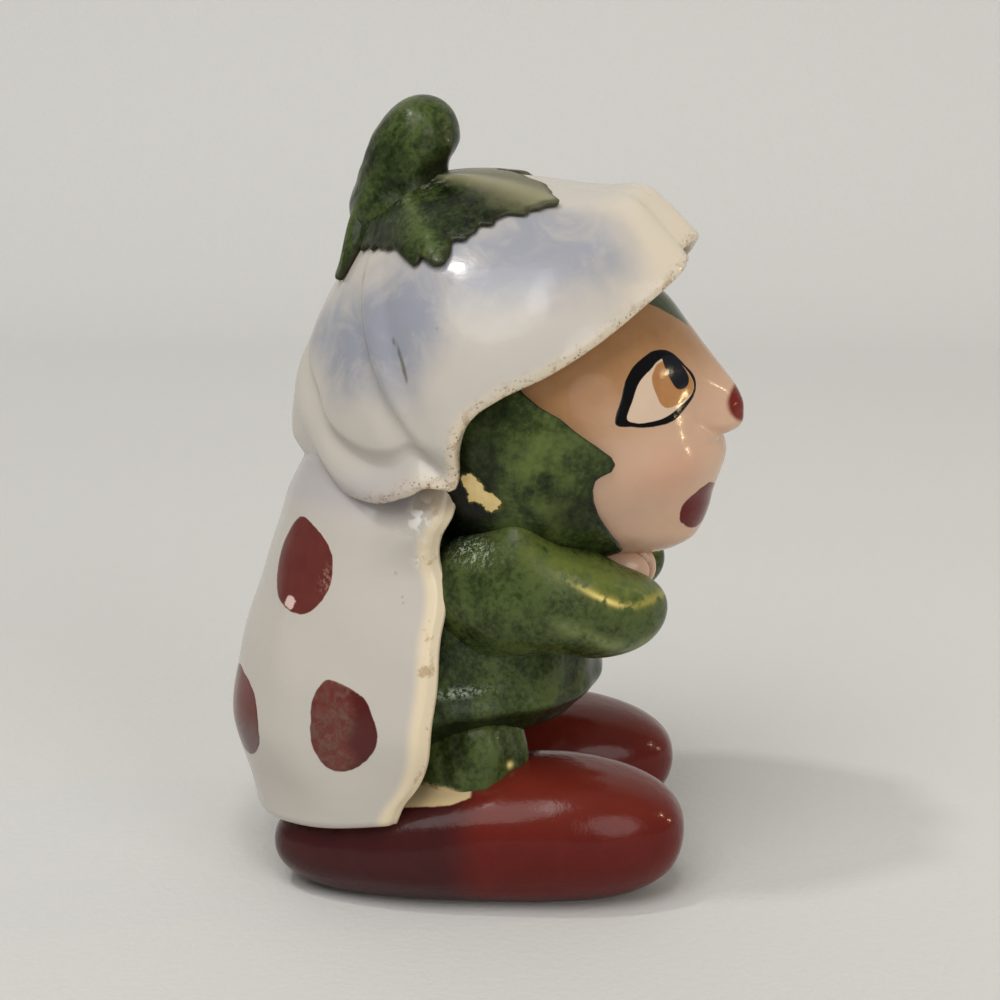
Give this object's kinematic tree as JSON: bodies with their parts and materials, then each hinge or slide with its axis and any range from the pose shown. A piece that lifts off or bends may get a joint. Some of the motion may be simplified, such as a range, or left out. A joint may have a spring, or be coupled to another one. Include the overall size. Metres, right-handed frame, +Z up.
{
  "type": "ceramic figurine",
  "caption": "Glazed ceramic figurine of a child dressed as a ladybug, with spotted wing cases, a flower hat and big shoes.",
  "frame": {"origin": "on the floor under the middle of the figurine's bounding box, between the two shoes", "axes": "+Z up; the figure looks along -Y; its right hand and right shoe are on -X"},
  "size_m": [0.0517, 0.0653, 0.0986],
  "materials": {
    "white_glaze": "gloss glaze with a warm cream tint at the edges and a lavender blush near the calyx",
    "green_glaze": "gloss glaze, mottled dark and yellow green",
    "red_glaze": "gloss dark red glaze",
    "skin_glaze": "gloss glaze, flesh pink with an orange brown blush"
  },
  "bodies": {
    "root": {"torso": "green_glaze", "head": "skin_glaze", "leaf_hood": "green_glaze", "flower_hat": "white_glaze", "calyx": "green_glaze", "hat_stem": "green_glaze", "wing_case_right": "white_glaze", "wing_case_left": "white_glaze", "arm_right": "green_glaze", "arm_left": "green_glaze", "hand_right": "skin_glaze", "hand_left": "skin_glaze", "leg_right": "green_glaze", "leg_left": "green_glaze", "shoe_right": "red_glaze", "shoe_left": "red_glaze"}
  },
  "joints": []
}
